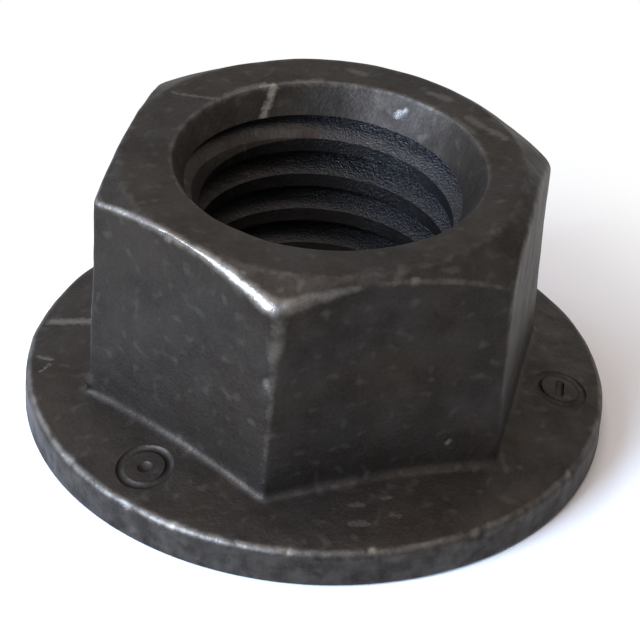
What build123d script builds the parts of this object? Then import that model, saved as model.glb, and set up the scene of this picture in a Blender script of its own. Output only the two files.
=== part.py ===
from build123d import *
from build123d.topology import SkipClean
import math
import os

# A cold-formed hexagon nut with a round conical flange, M12 coarse, in millimetres.
# It stands on its bearing face at z = 0, with the axis of the thread on Z and two opposite
# corners of the hexagon on the X axis.

# Hexagon
height = 12.0
across_flats = 17.0
corner_radius = 0.25
top_face_diameter = 16.5
top_chamfer_angle = 30.0

# Flange: an upright rim, and a cone that climbs to the hexagon
flange_diameter = 24.5
flange_edge_height = 1.65
flange_cone_angle = 13.0
flange_edge_radius = 0.45
bearing_edge_chamfer = 0.25
crease_chamfer = 0.3

# Hole, as it is before the thread is cut
minor_diameter = 10.4
top_countersink_diameter = 12.8
top_countersink_angle = 60.0
bottom_countersink_diameter = 12.6
bottom_countersink_angle = 90.0

# Thread: right-handed, with flat roots
thread_diameter = 12.0
thread_pitch = 1.75
thread_angle = 60.0
root_width = 0.22
thread_start_height = 1.45
thread_start_angle = 20.0

# How far the cutter of the groove reaches into the open hole
cutter_overlap = 0.15


def rise(run, degrees):
    """The height that a line at an angle to the level gains over a level run."""
    return run * math.tan(math.radians(degrees))


def cone_depth(wide, narrow, included_angle):
    """The depth of a countersink between two diameters."""
    return (wide - narrow) / 2 / math.tan(math.radians(included_angle / 2))


def turned(points, angle=360):
    """The solid that an outline of radii and heights makes when it is turned about Z."""
    outline = make_face(Polyline(*points, close=True))
    return revolve(Plane.XZ * outline, Axis.Z, angle)


def flange():
    """The round flange, with its rim rounded above and chamfered below."""
    rim = flange_diameter / 2
    tip = flange_edge_height + rise(rim, flange_cone_angle)
    outline = make_face(Polyline((0, 0), (rim, 0), (rim, flange_edge_height), (0, tip), close=True))
    upper = outline.vertices().sort_by_distance((rim, flange_edge_height))[0]
    outline = fillet(upper, flange_edge_radius)
    lower = outline.vertices().sort_by_distance((rim, 0))[0]
    outline = chamfer(lower, bearing_edge_chamfer)
    return revolve(Plane.XZ * outline, Axis.Z)


def hexagon():
    """The hexagon, with slightly round corners that the top chamfer turns down."""
    outline = RegularPolygon(across_flats / 2, 6, major_radius=False)
    prism = extrude(fillet(outline.vertices(), corner_radius), height)
    face = top_face_diameter / 2
    outside = across_flats
    edge = height - rise(outside - face, top_chamfer_angle)
    return prism & turned([(0, 0), (outside, 0), (outside, edge), (face, height), (0, height)])


def blank():
    """The formed nut before it is drilled: flange and hexagon, with the crease between filled in."""
    base = flange()
    head = hexagon()
    body = base + head
    return chamfer(new_edges(base, head, combined=body), crease_chamfer)


def hole_halves():
    """The drilled hole with both countersinks, as two halves.

    A face of a whole circle would run on as one strip through every turn of the thread's crest.
    """
    hole = minor_diameter / 2
    top = top_countersink_diameter / 2
    bottom = bottom_countersink_diameter / 2
    top_depth = cone_depth(top_countersink_diameter, minor_diameter, top_countersink_angle)
    bottom_depth = cone_depth(bottom_countersink_diameter, minor_diameter, bottom_countersink_angle)
    half = turned(
        [
            (0, 0),
            (bottom, 0),
            (hole, bottom_depth),
            (hole, height - top_depth),
            (top, height),
            (0, height),
        ],
        180,
    )
    return [half, Rotation(0, 0, 180) * half]


def groove_turn():
    """One turn of the groove that the tap cuts, swept from its trapezoid section."""
    root = thread_diameter / 2
    inner = minor_diameter / 2 - cutter_overlap
    half_root = root_width / 2
    half_mouth = half_root + rise(root - inner, thread_angle / 2)
    section = make_face(
        Plane.XZ
        * Polyline(
            (root, half_root),
            (inner, half_mouth),
            (inner, -half_mouth),
            (root, -half_root),
            close=True,
        )
    )
    path = Helix(thread_pitch, thread_pitch, (root + inner) / 2)
    return sweep(section, path, is_frenet=True)


def groove_turns():
    """The whole groove, turn by turn, from below the bearing face to above the top."""
    turn = Rotation(0, 0, thread_start_angle) * groove_turn()
    below = math.ceil(thread_start_height / thread_pitch) + 1
    above = math.ceil((height - thread_start_height) / thread_pitch) + 1
    levels = [thread_start_height + i * thread_pitch for i in range(-below, above)]
    return [Pos(0, 0, level) * turn for level in levels]


def flange_nut():
    """The blank, then the drilled hole, then the thread."""
    body = blank()
    with SkipClean():
        for cutter in hole_halves() + groove_turns():
            body = body - cutter
    return body


os.makedirs("parts", exist_ok=True)
export_step(flange_nut(), "parts/flange_nut.step")
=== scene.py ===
"""A used M12 hexagon flange nut in black-oxidised steel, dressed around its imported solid.

The nut is modelled as it is made: the formed blank with its wear, then the stamped marks, then
the tap. Sizes are in millimetres and are turned to metres where a mesh takes them.
"""

import math

import bpy
import numpy as np
from mathutils import Matrix, Quaternion, Vector, noise


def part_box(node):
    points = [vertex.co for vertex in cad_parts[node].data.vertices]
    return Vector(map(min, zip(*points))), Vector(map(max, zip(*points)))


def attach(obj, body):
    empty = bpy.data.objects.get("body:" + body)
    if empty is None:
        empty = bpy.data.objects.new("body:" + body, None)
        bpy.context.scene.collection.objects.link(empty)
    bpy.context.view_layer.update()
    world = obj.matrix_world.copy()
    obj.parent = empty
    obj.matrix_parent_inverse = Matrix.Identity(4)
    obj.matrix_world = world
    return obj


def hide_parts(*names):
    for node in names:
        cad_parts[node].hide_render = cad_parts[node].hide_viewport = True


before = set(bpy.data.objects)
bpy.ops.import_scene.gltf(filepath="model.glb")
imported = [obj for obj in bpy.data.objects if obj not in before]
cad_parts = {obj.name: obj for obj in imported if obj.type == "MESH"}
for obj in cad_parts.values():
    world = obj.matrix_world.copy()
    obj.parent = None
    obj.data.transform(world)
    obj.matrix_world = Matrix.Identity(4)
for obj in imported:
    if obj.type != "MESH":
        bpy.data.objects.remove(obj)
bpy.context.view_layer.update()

MM = 0.001
node_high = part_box("flange_nut")[1]

# Hexagon. The corners lie at 0, 60, 120 ... degrees, as in the frame
HEIGHT = node_high[2] / MM
ACROSS_FLATS = 17.0
TOP_FACE_DIAMETER = 16.5
TOP_CHAMFER = 30.0

# Flange
FLANGE_DIAMETER = 2 * node_high[0] / MM
FLANGE_EDGE = 1.65
FLANGE_SLOPE = 13.0
FLANGE_ROUND = 0.36
BEARING_EDGE = 0.25
CREASE_FILLET = 0.3

# Hole and thread, M12 coarse
HOLE_DIAMETER = 10.4
TOP_SINK_DIAMETER, TOP_SINK_ANGLE = 12.8, 60.0
BOTTOM_SINK_DIAMETER, BOTTOM_SINK_ANGLE = 12.6, 90.0
TOP_SINK_ROUND, BOTTOM_SINK_ROUND, HOLE_ROUND = 0.1, 0.08, 0.03
THREAD_DIAMETER = 12.0
THREAD_PITCH = 1.75
THREAD_ANGLE = 60.0
THREAD_ROOT = 0.22
THREAD_START_HEIGHT, THREAD_START_ANGLE = 1.45, 20.0

# How far the tap's core stays clear of the hole, and how far the tap stands out at both ends
TAP_CLEARANCE, TAP_OVERRUN = 0.15, 0.5

# How fine the blank and the tap are divided, and up to which angle an edge is shaded smooth
COLUMNS_PER_SIDE = 80
CORNER_CROWDING = 0.55
TAP_STEPS = 240
SMOOTH_ANGLE = 28

# Wear. The corners of the hexagon are rounder at the top, most of all the one at the front, 240
CORNER_ROUND_LOW = (0.30, 0.30, 0.30, 0.30, 0.40, 0.35)
CORNER_ROUND_TOP = (1.10, 0.45, 0.60, 0.40, 1.00, 0.55)
# The edge between the sides and the chamfer: angles, and how far its rounding reaches there
BROW_ANGLES = (0, 170, 188, 225, 236, 246, 262, 300, 360)
BROW_ROUND = (0.30, 0.16, 0.22, 0.30, 0.42, 0.42, 0.16, 0.20, 0.30)
FACE_ROUND = 0.12
# The chamfer is nowhere narrower than this, and its two roundings take no more than these shares
CHAMFER_LEAST, BROW_SHARE, FACE_SHARE = 0.1, 0.65, 0.3
# The chamfer was turned a little off centre: towards this angle it is narrower and flatter
CHAMFER_OFF_ANGLE = 150.0
CHAMFER_OFFSET = 0.30
CHAMFER_LEAN = 7.0
# The hexagon widens a little towards the flange, as it came out of its die
DRAFT = 0.08
# How bright each edge is rubbed, first the one between the sides and the chamfer
BROW_WEAR = (0.35, 0.45, 1.00, 1.15, 1.35, 0.60, 0.42, 0.42, 0.35)
CORNER_WEAR = (0.18, 0.22, 0.22, 0.20, 0.42, 0.28)
FACE_WEAR, FACE_WEAR_WIDTH = 0.16, 0.35
SINK_ANGLES = (0, 50, 100, 140, 200, 300, 360)
SINK_WEAR = (0.26, 0.26, 0.34, 0.30, 0.16, 0.10, 0.26)
SINK_WEAR_WIDTH = 0.2
RIM_ANGLES = (0, 150, 190, 235, 260, 360)
RIM_WEAR = (0.34, 0.38, 0.60, 0.60, 0.42, 0.34)
RIM_INSET, RIM_DROP, RIM_WEAR_WIDTH = 0.12, 0.03, 0.18
FOOT_WEAR, FOOT_WEAR_WIDTH = 0.3, 0.2
RIM_SIDE_WEAR = 0.2
NICK_WEAR = 1.15
# The wear of a corner: its width, how much it widens to the top, its share at the foot, how far
# off the side and over the chamfer's edge it still shows, and how far it is smeared at the top
CORNER_WEAR_WIDTH, CORNER_WEAR_SPREAD, CORNER_WEAR_FOOT = 0.12, 0.28, 0.4
CORNER_REACH, BROW_REACH = 0.4, 0.2
CORNER_SMEAR = (0.0, 0.0, 0.0, 0.0, 0.26, 0.12)
# How deep the forging's unevenness goes, how far apart its waves are, and over what distance it
# sets in, away from the hole and above the bearing face
UNEVEN_DEPTH = 0.05
UNEVEN_WAVE = 3.2
UNEVEN_FROM_HOLE, UNEVEN_FROM_FACE = 0.8, 0.5

# Nicks seen in the photograph: place on the surface, width, depth. Eight of the places were
# printed by a scratch program, which sent rays from the camera through points picked in the
# photograph, and the others were set by hand beside such places
NICKS = (
    ((2.76, -8.50, 3.65), 0.20, 0.04),
    ((-4.99, -8.36, 7.67), 0.34, 0.10),
    ((0.77, -8.50, 11.73), 0.30, 0.05),
    ((-10.01, -6.98, 1.52), 0.32, 0.09),
    ((-7.75, -3.60, 11.70), 0.30, 0.05),
    ((-1.45, -11.95, 1.68), 0.28, 0.05),
    ((2.93, -11.81, 1.57), 0.30, 0.06),
    ((7.99, -9.17, 1.58), 0.30, 0.07),
    # These two, in the countersink, are small dents whose bright bare steel is a painted glint
    ((4.35, 4.11, 11.28), 0.26, 0.05),
    ((4.58, 3.98, 11.38), 0.20, 0.04),
    ((-6.55, -5.20, 11.62), 0.30, 0.05),
    ((-5.55, -6.55, 11.62), 0.26, 0.05),
    ((-11.60, -3.60, 1.60), 0.34, 0.07),
    ((-8.60, -8.55, 1.60), 0.30, 0.06),
    ((-4.60, -11.20, 1.60), 0.26, 0.05),
)
# A burr that stands proud at the foot of a corner
BURR = ((-9.88, 0.12, 2.62), 0.34, -0.24)

# Scratches and burrs: both ends on the surface, the width, and how bright they are. Five of the
# ends come from that program too
SCRATCHES = (
    ((-10.10, 5.70, 1.80), (-8.60, 4.78, 2.20), 0.36, 0.55),
    ((-11.25, 3.40, 1.78), (-10.80, 2.90, 1.88), 0.16, 0.45),
    ((-11.40, 2.30, 1.80), (-10.90, 2.55, 1.90), 0.14, 0.50),
    ((-4.77, 6.64, 12.00), (-3.01, 5.65, 12.00), 0.16, 0.30),
    ((-0.95, 6.42, 11.98), (-0.45, 6.34, 11.95), 0.26, 0.60),
    ((-0.45, 6.30, 11.95), (-0.66, 6.05, 11.50), 0.30, 0.95),
    ((-0.66, 6.05, 11.50), (-1.08, 5.68, 10.85), 0.26, 0.80),
    ((-2.70, 5.85, 12.00), (-1.95, 6.25, 12.00), 0.26, 0.30),
    ((-1.75, 6.30, 12.00), (-1.10, 6.42, 12.00), 0.24, 0.35),
    ((0.60, 6.42, 12.00), (1.60, 6.28, 12.00), 0.26, 0.28),
    ((3.10, 6.90, 12.00), (3.60, 6.40, 12.00), 0.30, 0.20),
    ((5.85, 4.30, 12.00), (6.45, 3.70, 12.00), 0.34, 0.25),
    ((6.75, 2.10, 12.00), (7.05, 1.30, 12.00), 0.34, 0.25),
    ((7.25, 1.00, 12.00), (7.65, 0.20, 12.00), 0.30, 0.25),
    ((6.10, 2.20, 12.00), (6.50, 0.90, 12.00), 0.26, 0.20),
    ((-1.65, -9.66, 2.21), (-1.18, -9.77, 2.21), 0.20, 0.22),
    ((-1.92, -10.55, 2.00), (-1.23, -10.70, 1.99), 0.20, 0.22),
    ((-0.30, -9.62, 2.26), (0.05, -9.60, 2.26), 0.18, 0.22),
    ((-0.20, -10.45, 2.06), (0.10, -10.55, 2.04), 0.18, 0.20),
)

# The side on which the tap has torn the flanks of the thread, which is also the side that faces the
# window lamp and gets a painted sheen; and where on the way there both set in and are full
TORN_AND_LIT_SIDE = (0.95, 0.30, 0.0)
TORN_AND_LIT_FROM, TORN_AND_LIT_FULL = -2, 5

# Stamped marks on the flange, plain ones: a ring round a dot, and a ring round a bar
MARK_RADIUS = 10.35
DOT_MARK_ANGLE, BAR_MARK_ANGLE = 211.0, 336.0
MARK_DEPTH = 0.14
MARK_RING, MARK_TUBE = 1.0, 0.24
DOT_RADIUS = 0.5
BAR_SIZE, BAR_BEVEL = (0.4, 1.1, 0.5), 0.18

# The steel's patterns: how wide their features are. Real oxide has a grain of thousandths of a
# millimetre, and torn flanks may have finer chips too, so both are drawn as coarse as they need
# to be to show
CLOUD_SIZE, TINT_SIZE, SMUDGE_SIZE = 1.6, 4.5, 0.5
WORN_PATCH_SIZE, PIT_SIZE = 0.75, 0.6
GRAIN_SIZE, TORN_SIZE = 0.14, 0.11
# How deep its pits, grain and torn chips go, and how proud its scratches stand
PIT_DEPTH, GRAIN_DEPTH, SCRATCH_RISE, TORN_DEPTH = 0.03, 0.008, 0.03, 0.022
# How ragged the scratches are: the size of a rag, and how far it shifts the line
RAG_SIZE, RAG_SHIFT = 0.25, 0.35
# How strongly the paler colours of grain and smudges, and the thread's painted sheen, cover the
# oxide
GRAIN_SHARE, SMUDGE_SHARE, PAINTED_SHEEN_SHARE = 0.35, 0.65, 0.4
# Roughness of the oxide's dark and pale clouds, of bare steel, and of the oily thread
DARK_ROUGH, PALE_ROUGH, BARE_ROUGH, THREAD_ROUGH = 0.60, 0.50, 0.40, 0.42

# How far from the nut's axis the paper starts to run out into plain white, and where it has
PAPER_FADES, PAPER_GONE = 13, 26
# How brightly the room itself lights the nut, against the plain white that is seen
ROOM_LIGHT = 0.2


def tan(degrees):
    return math.tan(math.radians(degrees))


def sink_depth(wide, narrow, angle):
    """Depth of a countersink between two diameters."""
    return (wide - narrow) / 2 / tan(angle / 2)


def deselect():
    for piece in bpy.context.selected_objects:
        piece.select_set(False)


def work_on(piece):
    """Makes one piece the active and only selected one."""
    deselect()
    piece.select_set(True)
    bpy.context.view_layer.objects.active = piece


def edit(piece, *steps):
    """Runs mesh operators on all of a piece, each a name with its settings."""
    work_on(piece)
    bpy.ops.object.mode_set(mode="EDIT")
    for operator, settings in steps:
        bpy.ops.mesh.select_all(action="SELECT")
        getattr(bpy.ops.mesh, operator)(**settings)
    bpy.ops.object.mode_set(mode="OBJECT")


def apply_modifier(piece, kind, **settings):
    work_on(piece)
    modifier = piece.modifiers.new(kind.title(), kind)
    for name, value in settings.items():
        setattr(modifier, name, value)
    bpy.ops.object.modifier_apply(modifier=modifier.name)


def off_corner(angle):
    """Which corner of the hexagon is nearest at an angle, and how far off it is."""
    corner = np.round(angle / (math.pi / 3)).astype(int)
    return corner % 6, angle - corner * math.pi / 3


def hexagon_radius(angle, corner_rounds):
    """Distance from the axis to the side of the hexagon at an angle, corners rounded."""
    apothem = ACROSS_FLATS / 2
    corner, off = off_corner(angle)
    rounding = np.take(corner_rounds, corner)
    flat = apothem / np.cos(math.pi / 6 - np.abs(off))
    centre = (apothem - rounding) / math.cos(math.pi / 6)
    reach = np.arctan2(rounding * math.sin(math.pi / 6), centre + rounding * math.cos(math.pi / 6))
    inside = np.maximum(rounding ** 2 - (centre * np.sin(off)) ** 2, 0)
    arc = centre * np.cos(off) + np.sqrt(inside)
    return np.where(np.abs(off) < reach, arc, flat)


def column_angles():
    """Angles of the blank's columns, closer together at the hexagon's corners."""
    turn = np.arange(6 * COLUMNS_PER_SIDE) / COLUMNS_PER_SIDE
    return (turn - CORNER_CROWDING * np.sin(2 * np.pi * turn) / (2 * np.pi)) * math.pi / 3


def crease_height(radius):
    """Height of the flange's cone at a radius."""
    return FLANGE_EDGE + (FLANGE_DIAMETER / 2 - radius) * tan(FLANGE_SLOPE)


def face_radius(angle):
    """Radius of the flat top face at an angle."""
    off = CHAMFER_OFFSET * np.cos(angle - math.radians(CHAMFER_OFF_ANGLE))
    side = hexagon_radius(angle, CORNER_ROUND_TOP)
    return np.minimum(TOP_FACE_DIAMETER / 2 + off, side - CHAMFER_LEAST)


def brow_height(radius, angle):
    """Height of the hexagon's chamfer at a radius and an angle."""
    slope = TOP_CHAMFER - CHAMFER_LEAN * np.cos(angle - math.radians(CHAMFER_OFF_ANGLE))
    return HEIGHT - (radius - face_radius(angle)) * np.tan(np.radians(slope))


def outline_corners(angles):
    """The blank's outline at every angle, as corners in order round the section.

    Each corner is (radius, height, how far its rounding reaches, steps in it, steps after it).
    """
    hole, rim = HOLE_DIAMETER / 2, FLANGE_DIAMETER / 2
    low = hexagon_radius(angles, CORNER_ROUND_LOW) + DRAFT
    high = hexagon_radius(angles, CORNER_ROUND_TOP)
    face = face_radius(angles)
    chamfer = high - face
    brow_round = np.interp(np.degrees(angles) % 360, BROW_ANGLES, BROW_ROUND)
    brow_round = np.minimum(brow_round, BROW_SHARE * chamfer)
    face_round = np.minimum(FACE_ROUND, FACE_SHARE * chamfer)
    bottom = sink_depth(BOTTOM_SINK_DIAMETER, HOLE_DIAMETER, BOTTOM_SINK_ANGLE)
    top = HEIGHT - sink_depth(TOP_SINK_DIAMETER, HOLE_DIAMETER, TOP_SINK_ANGLE)
    return [
        (hole, bottom, HOLE_ROUND, 2, 3),
        (BOTTOM_SINK_DIAMETER / 2, 0, BOTTOM_SINK_ROUND, 3, 4),
        (rim, 0, BEARING_EDGE, 5, 7),
        (rim, FLANGE_EDGE, FLANGE_ROUND, 8, 26),
        (low, crease_height(low), CREASE_FILLET, 6, 44),
        (high, brow_height(high, angles), brow_round, 7, 9),
        (face, HEIGHT, face_round, 3, 12),
        (TOP_SINK_DIAMETER / 2, HEIGHT, TOP_SINK_ROUND, 4, 9),
        (hole, top, HOLE_ROUND, 2, 3),
    ]


def step_off(here, there, far):
    """The point that lies so far from here on the way to there."""
    way = there - here
    return here + way / np.linalg.norm(way, axis=-1, keepdims=True) * far[:, None]


def rounded_section(corners, count):
    """Points along a closed outline whose corners are rounded, shaped (angles, points, 2)."""
    full = [[np.broadcast_to(value, count) for value in corner[:3]] for corner in corners]
    places = [np.stack([radius, height], -1) for radius, height, _ in full]
    reaches = [reach for _, _, reach in full]
    points = []
    for k, (_, _, _, arc_steps, run_steps) in enumerate(corners):
        after = (k + 1) % len(corners)
        start = step_off(places[k], places[k - 1], reaches[k])
        end = step_off(places[k], places[after], reaches[k])
        goal = step_off(places[after], places[k], reaches[after])
        for s in np.linspace(0, 1, arc_steps + 1):
            points.append((1 - s) ** 2 * start + 2 * s * (1 - s) * places[k] + s ** 2 * end)
        for s in np.linspace(0, 1, run_steps + 1)[1:-1]:
            points.append(end + (goal - end) * s)
    return np.stack(points, axis=1)


def read_vertices(mesh, what):
    """One value of three numbers of every vertex, such as its place."""
    values = np.empty(3 * len(mesh.vertices))
    mesh.vertices.foreach_get(what, values)
    return values.reshape(-1, 3)


def worn_depth(places):
    """How deep the surface lies below the new one, by forging and by knocks."""
    waves = np.array([noise.fractal(Vector(p) / UNEVEN_WAVE, 1.0, 2.0, 3) for p in places])
    radius = np.hypot(places[:, 0], places[:, 1])
    from_hole = np.clip((radius - HOLE_DIAMETER / 2 - 0.1) / UNEVEN_FROM_HOLE, 0, 1)
    outside = from_hole * np.clip(places[:, 2] / UNEVEN_FROM_FACE, 0, 1)
    depth = UNEVEN_DEPTH * np.clip(0.5 + waves, 0, 1.2) * outside
    for place, width, deep in NICKS + (BURR,):
        far = np.linalg.norm(places - np.array(place), axis=1)
        depth += deep * np.exp(-(far / width) ** 2)
    return depth


def make_blank():
    """The formed nut with its plain hole: a sheet wrapped round the section, then round the axis.

    The section and the rounding of its edges change all the way round, which a bevel can't give,
    so the sheet's points are put in their places.
    """
    angles = column_angles()
    section = rounded_section(outline_corners(angles), len(angles))
    section = np.pad(section, ((0, 1), (0, 1), (0, 0)), mode="wrap")
    across = np.pad(angles, (0, 1), mode="wrap")[:, None]
    columns, rows = section.shape[:2]
    deselect()
    bpy.ops.mesh.primitive_grid_add(x_subdivisions=rows - 1, y_subdivisions=columns - 1,
                                    size=HEIGHT * MM)
    blank = bpy.context.object
    blank.name = "hex_flange_nut"
    radius, height = section[..., 0], section[..., 1]
    places = np.stack([radius * np.cos(across), radius * np.sin(across), height], -1) * MM
    blank.data.vertices.foreach_set("co", places.ravel())
    blank.data.update()
    edit(blank, ("remove_doubles", {"threshold": 1e-6}),
         ("normals_make_consistent", {"inside": False}))
    places = read_vertices(blank.data, "co")
    places -= read_vertices(blank.data, "normal") * worn_depth(places / MM)[:, None] * MM
    blank.data.vertices.foreach_set("co", places.ravel())
    blank.data.update()
    return blank


def on_flange(angle, above=0.0):
    """Place and turn of a thing that stands on the flange's cone, so high above it."""
    turn = Matrix.Rotation(math.radians(angle), 4, "Z")
    lean = Matrix.Rotation(math.radians(FLANGE_SLOPE), 4, "Y")
    spot = Matrix.Translation((MARK_RADIUS * MM, 0, crease_height(MARK_RADIUS) * MM))
    return turn @ spot @ lean @ Matrix.Translation((0, 0, above * MM))


def make_stamp(angle, inner):
    """A stamp that stands on the flange at an angle: a ring, with an inner shape joined to it."""
    bpy.ops.mesh.primitive_torus_add(major_radius=MARK_RING * MM, minor_radius=MARK_TUBE * MM,
                                     major_segments=72, minor_segments=16)
    ring = bpy.context.object
    ring.data.transform(on_flange(angle, MARK_TUBE - MARK_DEPTH))
    inner.select_set(True)
    bpy.ops.object.join()
    return ring


def make_marks():
    """The stamps that press the two marks: a ring round a dot, and a ring round a bar."""
    deselect()
    bpy.ops.mesh.primitive_uv_sphere_add(radius=DOT_RADIUS * MM, segments=40, ring_count=24)
    dot = bpy.context.object
    dot.data.transform(on_flange(DOT_MARK_ANGLE, DOT_RADIUS - MARK_DEPTH))
    first = make_stamp(DOT_MARK_ANGLE, dot)
    deselect()
    bpy.ops.mesh.primitive_cube_add(size=MM)
    bar = bpy.context.object
    bar.data.transform(Matrix.Diagonal((*BAR_SIZE, 1.0)))
    apply_modifier(bar, "BEVEL", width=BAR_BEVEL * MM, segments=5)
    bar.data.transform(on_flange(BAR_MARK_ANGLE, BAR_SIZE[2] / 2 - MARK_DEPTH))
    second = make_stamp(BAR_MARK_ANGLE, bar)
    first.select_set(True)
    bpy.ops.object.join()
    return second


def make_tap():
    """The tap as a closed solid: a core that clears the hole, with the thread's ridge round it."""
    root, core = THREAD_DIAMETER / 2, HOLE_DIAMETER / 2 - TAP_CLEARANCE
    half_root = THREAD_ROOT / 2
    half_mouth = half_root + (root - core) * tan(THREAD_ANGLE / 2)
    half_pitch = THREAD_PITCH / 2
    ridge = [(core, -half_pitch), (core, -half_mouth), (root, -half_root),
             (root, half_root), (core, half_mouth), (core, half_pitch)]
    turns = math.ceil(HEIGHT / THREAD_PITCH) + 4
    first = THREAD_START_HEIGHT - 3 * THREAD_PITCH
    start = Matrix.Rotation(math.radians(THREAD_START_ANGLE), 4, "Z")
    mesh = bpy.data.meshes.new("tap")
    mesh.from_pydata([start @ Vector((r * MM, 0, (first + z) * MM)) for r, z in ridge],
                     [(i, i + 1) for i in range(len(ridge) - 1)], [])
    tap = bpy.data.objects.new("tap", mesh)
    bpy.context.collection.objects.link(tap)
    apply_modifier(tap, "SCREW", angle=2 * math.pi, screw_offset=THREAD_PITCH * MM,
                   iterations=turns, steps=TAP_STEPS, render_steps=TAP_STEPS)
    edit(tap, ("remove_doubles", {"threshold": 1e-6}))
    for end, way in ((-TAP_OVERRUN, -1), (HEIGHT + TAP_OVERRUN, 1)):
        edit(tap, ("bisect", {"plane_co": (0, 0, end * MM), "plane_no": (0, 0, way),
                              "use_fill": True, "clear_outer": True, "threshold": 1e-7}))
    edit(tap, ("remove_doubles", {"threshold": 1e-7}),
         ("normals_make_consistent", {"inside": False}))
    return tap


def cut(piece, tool):
    """Takes the tool's shape out of a piece, and the tool out of the scene."""
    apply_modifier(piece, "BOOLEAN", operation="DIFFERENCE", solver="EXACT", object=tool)
    bpy.data.objects.remove(tool)


def near(distance, width):
    """1 on a line, and fading to 0 a few widths from it."""
    return np.exp(-(distance / width) ** 2)


def store(piece, name, values):
    """Keeps one number for each vertex, for the material to read."""
    attribute = piece.data.attributes.new(name, "FLOAT", "POINT")
    attribute.data.foreach_set("value", values.astype(np.float32))


def mark_wear(piece):
    """Stores how near every vertex is to an edge that hands, floor and spanner have rubbed."""
    places = read_vertices(piece.data, "co") / MM
    radius, height = np.hypot(places[:, 0], places[:, 1]), places[:, 2]
    angle = np.arctan2(places[:, 1], places[:, 0])
    degrees = np.degrees(angle) % 360
    low = hexagon_radius(angle, CORNER_ROUND_LOW) + DRAFT
    high = hexagon_radius(angle, CORNER_ROUND_TOP)
    crease, brow = crease_height(low), brow_height(high, angle)
    up = np.clip((height - crease) / (brow - crease), 0, 1)
    corner, off = off_corner(angle)
    side_off = np.sin(off) * radius - np.take(CORNER_SMEAR, corner) * up ** 2
    on_side = (height > crease) & (height < brow + BROW_REACH)
    on_side &= np.abs(radius - low) < CORNER_REACH
    corner_wear = np.take(CORNER_WEAR, corner) * (CORNER_WEAR_FOOT + (1 - CORNER_WEAR_FOOT) * up)
    rim, sink = FLANGE_DIAMETER / 2, TOP_SINK_DIAMETER / 2

    # Every rubbed line: how bright it is, how far off the surface lies, and the line's width
    lines = [
        (np.interp(degrees, BROW_ANGLES, BROW_WEAR),
         np.hypot(radius - high, height - brow),
         np.interp(degrees, BROW_ANGLES, BROW_ROUND) * 0.9),
        (on_side * corner_wear,
         side_off,
         CORNER_WEAR_WIDTH + CORNER_WEAR_SPREAD * np.take(CORNER_ROUND_TOP, corner) * up ** 2),
        (np.interp(degrees, RIM_ANGLES, RIM_WEAR),
         np.hypot(radius - rim + RIM_INSET, height - FLANGE_EDGE + RIM_DROP),
         RIM_WEAR_WIDTH),
        (FOOT_WEAR, np.hypot(radius - rim + RIM_INSET, height - RIM_INSET), FOOT_WEAR_WIDTH),
        (RIM_SIDE_WEAR, radius - rim, RIM_INSET),
        (FACE_WEAR, np.hypot(radius - face_radius(angle), height - HEIGHT), FACE_WEAR_WIDTH),
        (np.interp(degrees, SINK_ANGLES, SINK_WEAR),
         np.hypot(radius - sink, height - HEIGHT),
         SINK_WEAR_WIDTH),
    ]
    # A nick is bright bare steel; at the two in the countersink this is a painted glint
    lines += [(NICK_WEAR, np.linalg.norm(places - np.array(place), axis=1), 0.6 * width)
              for place, width, _ in NICKS]
    wear = [bright * near(far, width) for bright, far, width in lines]
    store(piece, "wear", np.max(wear, axis=0))

    # Only the thread, so what lies behind the wall of the hole and of the countersink
    sink_foot = HEIGHT - sink_depth(TOP_SINK_DIAMETER, HOLE_DIAMETER, TOP_SINK_ANGLE)
    sink_wall = HOLE_DIAMETER / 2 + np.maximum(height - sink_foot, 0) * tan(TOP_SINK_ANGLE / 2)
    behind_wall = (radius > sink_wall + 0.05) | (height < sink_foot - 0.02)
    store(piece, "bore", 1.0 * (behind_wall & (radius < THREAD_DIAMETER / 2 + 0.1)))


nut = make_blank()
cut(nut, make_marks())
cut(nut, make_tap())
mark_wear(nut)
work_on(nut)
bpy.ops.object.shade_smooth_by_angle(angle=math.radians(SMOOTH_ANGLE))


def linear(hex_colour):
    """An sRGB hex colour as linear red, green, blue and alpha."""
    parts = [int(hex_colour[i:i + 2], 16) / 255 for i in (1, 3, 5)]
    return [c / 12.92 if c <= 0.04045 else ((c + 0.055) / 1.055) ** 2.4 for c in parts] + [1.0]


def waves(size):
    """The scale that makes a pattern's features so many millimetres wide."""
    return 1 / (size * MM)


def add_node(tree, kind, settings=None, **inputs):
    """Adds a node, sets its own settings, and sets or links its inputs by name or number."""
    node = tree.nodes.new(kind)
    for name, value in (settings or {}).items():
        setattr(node, name, value)
    for name, value in inputs.items():
        by_number = name[0] == "i" and name[1:].isdigit()
        socket = node.inputs[int(name[1:]) if by_number else name.replace("_", " ")]
        if isinstance(value, bpy.types.NodeSocket):
            tree.links.new(value, socket)
        else:
            socket.default_value = value
    return node


# Settings of nodes
COLOUR = {"data_type": "RGBA"}
MINUS, TIMES, PLUS = {"operation": "SUBTRACT"}, {"operation": "MULTIPLY"}, {"operation": "ADD"}
DOT, GAP, SCALED = {"operation": "DOT_PRODUCT"}, {"operation": "DISTANCE"}, {"operation": "SCALE"}
LARGER, SOFT = {"operation": "MAXIMUM"}, {"interpolation_type": "SMOOTHSTEP"}


def patchy(tree, place, size, detail, low, high):
    """Cloudy patches so many millimetres wide: 0 up to one level of the noise, 1 from another."""
    cloud = add_node(tree, "ShaderNodeTexNoise", Vector=place, Scale=waves(size), Detail=detail,
                     Roughness=0.6)
    return add_node(tree, "ShaderNodeMapRange", Value=cloud.outputs["Fac"],
                    From_Min=low, From_Max=high).outputs[0]


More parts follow.
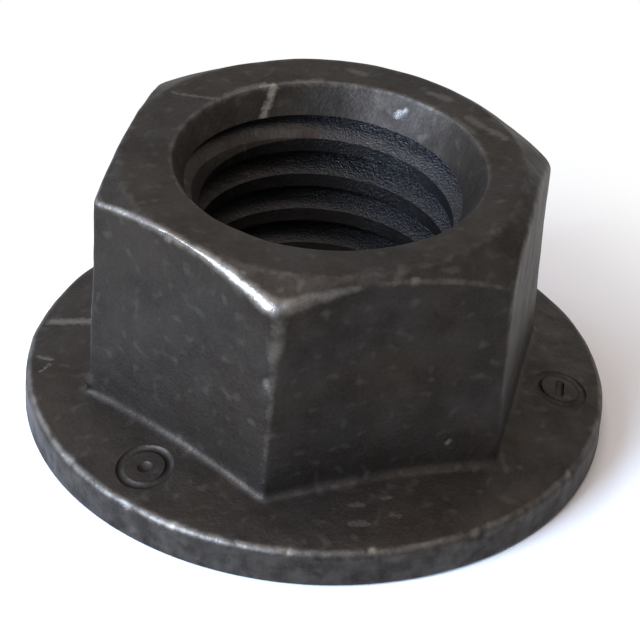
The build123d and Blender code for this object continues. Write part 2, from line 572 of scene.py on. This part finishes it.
def along_line(tree, place, start, end, width, bright):
    """A scratch's brightness on the line between two points, fading to 0 at its width."""
    start, way = Vector(start) * MM, (Vector(end) - Vector(start)) * MM
    off = add_node(tree, "ShaderNodeVectorMath", MINUS, i0=place, i1=start).outputs[0]
    part = add_node(tree, "ShaderNodeVectorMath", DOT, i0=off, i1=way / way.length_squared)
    held = add_node(tree, "ShaderNodeMath", {"operation": "ADD", "use_clamp": True},
                    i0=part.outputs["Value"], i1=0.0)
    foot = add_node(tree, "ShaderNodeVectorMath", SCALED, i0=way, Scale=held.outputs[0])
    gap = add_node(tree, "ShaderNodeVectorMath", GAP, i0=off, i1=foot.outputs[0])
    return add_node(tree, "ShaderNodeMapRange", SOFT, Value=gap.outputs["Value"],
                    From_Min=width * MM, From_Max=0.1 * width * MM, To_Max=bright).outputs[0]


def scratched(tree, place):
    """The brightness of every scratch, ragged at the edges."""
    rag = add_node(tree, "ShaderNodeTexNoise", Vector=place, Scale=waves(RAG_SIZE), Detail=2.0)
    middle = add_node(tree, "ShaderNodeVectorMath", MINUS, i0=rag.outputs["Color"],
                      i1=(0.5, 0.5, 0.5))
    shift = add_node(tree, "ShaderNodeVectorMath", SCALED, i0=middle.outputs[0],
                     Scale=RAG_SHIFT * MM)
    ragged = add_node(tree, "ShaderNodeVectorMath", PLUS, i0=place, i1=shift.outputs[0])
    total = 0.0
    for start, end, width, bright in SCRATCHES:
        line = along_line(tree, ragged.outputs[0], start, end, width, bright)
        total = add_node(tree, "ShaderNodeMath", LARGER, i0=line, i1=total).outputs[0]
    return total


def black_oxide_steel():
    """Steel blackened in a salt bath and oiled: nearly black, matt, with edges rubbed bright."""
    material = bpy.data.materials.new("black_oxide_steel")
    material.use_nodes = True
    tree = material.node_tree
    place = add_node(tree, "ShaderNodeTexCoord").outputs["Object"]
    worn = add_node(tree, "ShaderNodeAttribute", {"attribute_name": "wear"}).outputs["Fac"]
    bore = add_node(tree, "ShaderNodeAttribute", {"attribute_name": "bore"}).outputs["Fac"]

    # The oxide's own colour: cloudy, between a warm black and a cooler grey
    clouds = patchy(tree, place, CLOUD_SIZE, 5.0, 0.36, 0.66)
    tint = patchy(tree, place, TINT_SIZE, 2.0, 0.35, 0.65)
    grain = patchy(tree, place, GRAIN_SIZE, 3.0, 0.30, 0.75)
    dark = add_node(tree, "ShaderNodeMix", COLOUR, Factor=tint,
                    i6=linear("#272321"), i7=linear("#2a2420")).outputs[2]
    pale = add_node(tree, "ShaderNodeMix", COLOUR, Factor=tint,
                    i6=linear("#32302e"), i7=linear("#35302b")).outputs[2]
    oxide = add_node(tree, "ShaderNodeMix", COLOUR, Factor=clouds, i6=dark, i7=pale).outputs[2]
    grained = add_node(tree, "ShaderNodeMath", TIMES, i0=grain, i1=GRAIN_SHARE).outputs[0]
    oxide = add_node(tree, "ShaderNodeMix", COLOUR, Factor=grained,
                     i6=oxide, i7=linear("#403b36")).outputs[2]
    smudges = patchy(tree, place, SMUDGE_SIZE, 0.0, 0.64, 0.88)
    smudged = add_node(tree, "ShaderNodeMath", TIMES, i0=smudges, i1=SMUDGE_SHARE).outputs[0]
    oxide = add_node(tree, "ShaderNodeMix", COLOUR, Factor=smudged,
                     i6=oxide, i7=linear("#48443f")).outputs[2]

    # Bare steel shows where the edges are rubbed, in the nicks and in the scratches; at the two
    # nicks in the countersink it is a painted glint
    broken = patchy(tree, place, WORN_PATCH_SIZE, 3.0, 0.32, 0.62)
    broken = add_node(tree, "ShaderNodeMapRange", Value=broken, To_Min=0.36, To_Max=1.12).outputs[0]
    rubbed = add_node(tree, "ShaderNodeMath", TIMES, i0=worn, i1=broken).outputs[0]
    rubbed = add_node(tree, "ShaderNodeMapRange", Value=rubbed, From_Min=0.10,
                      From_Max=0.90).outputs[0]
    scratches = scratched(tree, place)
    bare = add_node(tree, "ShaderNodeMath", LARGER, i0=rubbed, i1=scratches).outputs[0]
    colour = add_node(tree, "ShaderNodeMix", COLOUR, Factor=bare,
                      i6=oxide, i7=linear("#7a746d")).outputs[2]

    rough = add_node(tree, "ShaderNodeMapRange", Value=clouds, To_Min=DARK_ROUGH,
                     To_Max=PALE_ROUGH).outputs[0]
    rough = add_node(tree, "ShaderNodeMix", Factor=bare, i2=rough, i3=BARE_ROUGH).outputs[0]
    rough = add_node(tree, "ShaderNodeMix", Factor=bore, i2=rough, i3=THREAD_ROUGH).outputs[0]

    # A fine grain over soft pits; the scratches stand a little proud
    pits = patchy(tree, place, PIT_SIZE, 3.0, 0.0, 1.0)
    bump = add_node(tree, "ShaderNodeBump", Strength=1.0, Distance=PIT_DEPTH * MM, Height=pits)
    bump = add_node(tree, "ShaderNodeBump", Strength=1.0, Distance=GRAIN_DEPTH * MM, Height=grain,
                    Normal=bump.outputs[0])
    bump = add_node(tree, "ShaderNodeBump", Strength=1.0, Distance=SCRATCH_RISE * MM,
                    Height=scratches, Normal=bump.outputs[0])

    # The side of the thread that faces the window lamp: torn and chipped, and painted cooler and
    # paler, a painted sheen of that lamp's light
    torn = patchy(tree, place, TORN_SIZE, 3.0, 0.35, 0.65)
    across = add_node(tree, "ShaderNodeVectorMath", DOT, i0=place, i1=TORN_AND_LIT_SIDE).outputs["Value"]
    side = add_node(tree, "ShaderNodeMapRange", Value=across, From_Min=TORN_AND_LIT_FROM * MM,
                    From_Max=TORN_AND_LIT_FULL * MM, To_Min=0.15, To_Max=1.0).outputs[0]
    torn_and_lit = add_node(tree, "ShaderNodeMath", TIMES, i0=bore, i1=side).outputs[0]
    # The cooler, paler colour mixed in here is a painted sheen, on the side of the thread that the
    # window lamp lights
    painted_sheen = add_node(tree, "ShaderNodeMath", TIMES, i0=torn_and_lit, i1=PAINTED_SHEEN_SHARE).outputs[0]
    colour = add_node(tree, "ShaderNodeMix", COLOUR, Factor=painted_sheen,
                      i6=colour, i7=linear("#42454a")).outputs[2]
    bump = add_node(tree, "ShaderNodeBump", Strength=torn_and_lit, Distance=TORN_DEPTH * MM, Height=torn,
                    Normal=bump.outputs[0])

    shader = tree.nodes["Principled BSDF"]
    shader.inputs["Metallic"].default_value = 1.0
    tree.links.new(colour, shader.inputs["Base Color"])
    tree.links.new(rough, shader.inputs["Roughness"])
    tree.links.new(bump.outputs[0], shader.inputs["Normal"])
    return material


nut.data.materials.clear()
nut.data.materials.append(black_oxide_steel())
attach(nut, "root")
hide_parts("flange_nut")


def seen_or_mirrored(tree):
    """1 for a ray from the camera, and for one that steel or glass sends on."""
    path = add_node(tree, "ShaderNodeLightPath").outputs
    either = add_node(tree, "ShaderNodeMath", LARGER, i0=path["Is Camera Ray"],
                      i1=path["Is Glossy Ray"]).outputs[0]
    return add_node(tree, "ShaderNodeMath", LARGER, i0=either,
                    i1=path["Is Transmission Ray"]).outputs[0]


def white_paper():
    """A matt white sheet. Seen or mirrored, it runs out into plain white away from the nut."""
    material = bpy.data.materials.new("white_paper")
    material.use_nodes = True
    tree = material.node_tree
    paper = tree.nodes["Principled BSDF"]
    paper.inputs["Base Color"].default_value = linear("#f4f4f4")
    paper.inputs["Roughness"].default_value = 0.9
    place = add_node(tree, "ShaderNodeTexCoord").outputs["Object"]
    far = add_node(tree, "ShaderNodeVectorMath", {"operation": "LENGTH"}, i0=place).outputs["Value"]
    out = add_node(tree, "ShaderNodeMapRange", SOFT, Value=far, From_Min=PAPER_FADES * MM,
                   From_Max=PAPER_GONE * MM).outputs[0]
    plain = add_node(tree, "ShaderNodeMath", TIMES, i0=out, i1=seen_or_mirrored(tree)).outputs[0]
    glow = add_node(tree, "ShaderNodeEmission", Strength=1.0)
    mixed = add_node(tree, "ShaderNodeMixShader", i0=plain, i1=paper.outputs[0], i2=glow.outputs[0])
    tree.links.new(mixed.outputs[0], tree.nodes["Material Output"].inputs["Surface"])
    return material


deselect()
bpy.ops.mesh.primitive_plane_add(size=2.0, location=(0, 0, -0.02 * MM))
floor = bpy.context.object
floor.name = "floor"
floor.data.materials.append(white_paper())

# Camera: a longish lens at the front left, rolled a little
CAMERA_PLACE = Vector((-31.9, -88.4, 69.9)) * MM
CAMERA_AIM = Vector((-0.25, -0.81, 4.79)) * MM
CAMERA_ROLL = 4.06
LENS, SENSOR, NEAREST_SEEN = 153.9, 36.0, 0.01

camera_data = bpy.data.cameras.new("camera")
camera_data.lens, camera_data.sensor_width = LENS, SENSOR
camera_data.clip_start = NEAREST_SEEN
camera = bpy.data.objects.new("camera", camera_data)
bpy.context.collection.objects.link(camera)
camera.location = CAMERA_PLACE
look = (CAMERA_AIM - CAMERA_PLACE).to_track_quat("-Z", "Y")
camera.rotation_mode = "QUATERNION"
camera.rotation_quaternion = look @ Quaternion((0, 0, 1), math.radians(CAMERA_ROLL))
bpy.context.scene.camera = camera


NUT_MIDDLE = Vector((0, 0, 5 * MM))


def soft_lamp(name, place, size, power, colour):
    """A square area lamp that faces the nut."""
    lamp = bpy.data.lights.new(name, "AREA")
    lamp.shape, lamp.size, lamp.energy = "SQUARE", size * MM, power
    lamp.color = linear(colour)[:3]
    holder = bpy.data.objects.new(name, lamp)
    bpy.context.collection.objects.link(holder)
    holder.location = Vector(place) * MM
    holder.rotation_mode = "QUATERNION"
    holder.rotation_quaternion = (NUT_MIDDLE - holder.location).to_track_quat("-Z", "Y")


# Place and size in millimetres, power in watts
soft_lamp("window", (-160, -60, 70), 120, 1.32, "#cce1ff")
soft_lamp("far window", (-130, 120, 110), 120, 0.17, "#cfe2ff")
soft_lamp("ceiling", (0, 0, 220), 200, 0.26, "#fff3f0")

# A dim warm room, that is plain white where it is seen or mirrored
world = bpy.data.worlds.new("room")
world.use_nodes = True
room = world.node_tree
air = room.nodes["Background"]
air.inputs["Color"].default_value = linear("#fff6f0")
air.inputs["Strength"].default_value = ROOM_LIGHT
white = add_node(room, "ShaderNodeBackground", Strength=1.0)
both = add_node(room, "ShaderNodeMixShader", i0=seen_or_mirrored(room),
                i1=air.outputs[0], i2=white.outputs[0])
room.links.new(both.outputs[0], room.nodes["World Output"].inputs["Surface"])
bpy.context.scene.world = world
bpy.context.scene.view_settings.view_transform = "Standard"
